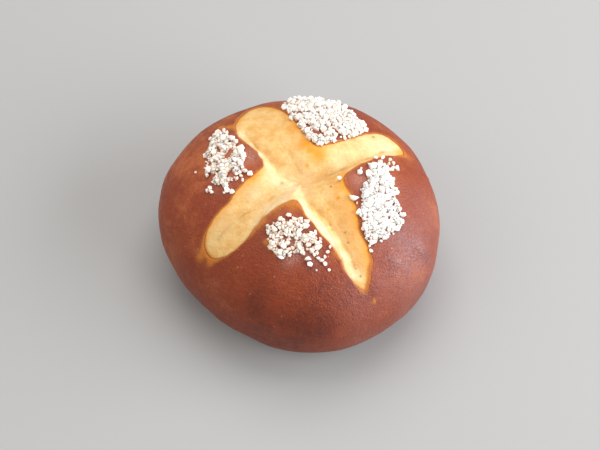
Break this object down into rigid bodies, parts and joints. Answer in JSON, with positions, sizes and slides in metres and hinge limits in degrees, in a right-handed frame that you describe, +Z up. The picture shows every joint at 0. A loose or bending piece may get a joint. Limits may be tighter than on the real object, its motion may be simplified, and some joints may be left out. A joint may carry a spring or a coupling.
{
  "type": "pretzel roll",
  "caption": "Round pretzel roll with a brown crust, a cross cut on top that has opened to pale crumb, and patches of coarse salt on the flaps between its arms",
  "frame": {"origin": "On the flat underside, below the middle of the roll's bounding box", "axes": "+Z up, out of the cut top; +Y away from the side that the picture looks from, towards the two back arms of the cut; +X to the picture's right"},
  "size_m": [0.1034, 0.0978, 0.0541],
  "materials": {
    "crust": null,
    "crumb": "matt cream-yellow crumb in the cut, amber at its edges",
    "salt": "white coarse salt crystals"
  },
  "bodies": {
    "root": {"pretzel_roll": "crust"}
  },
  "joints": []
}
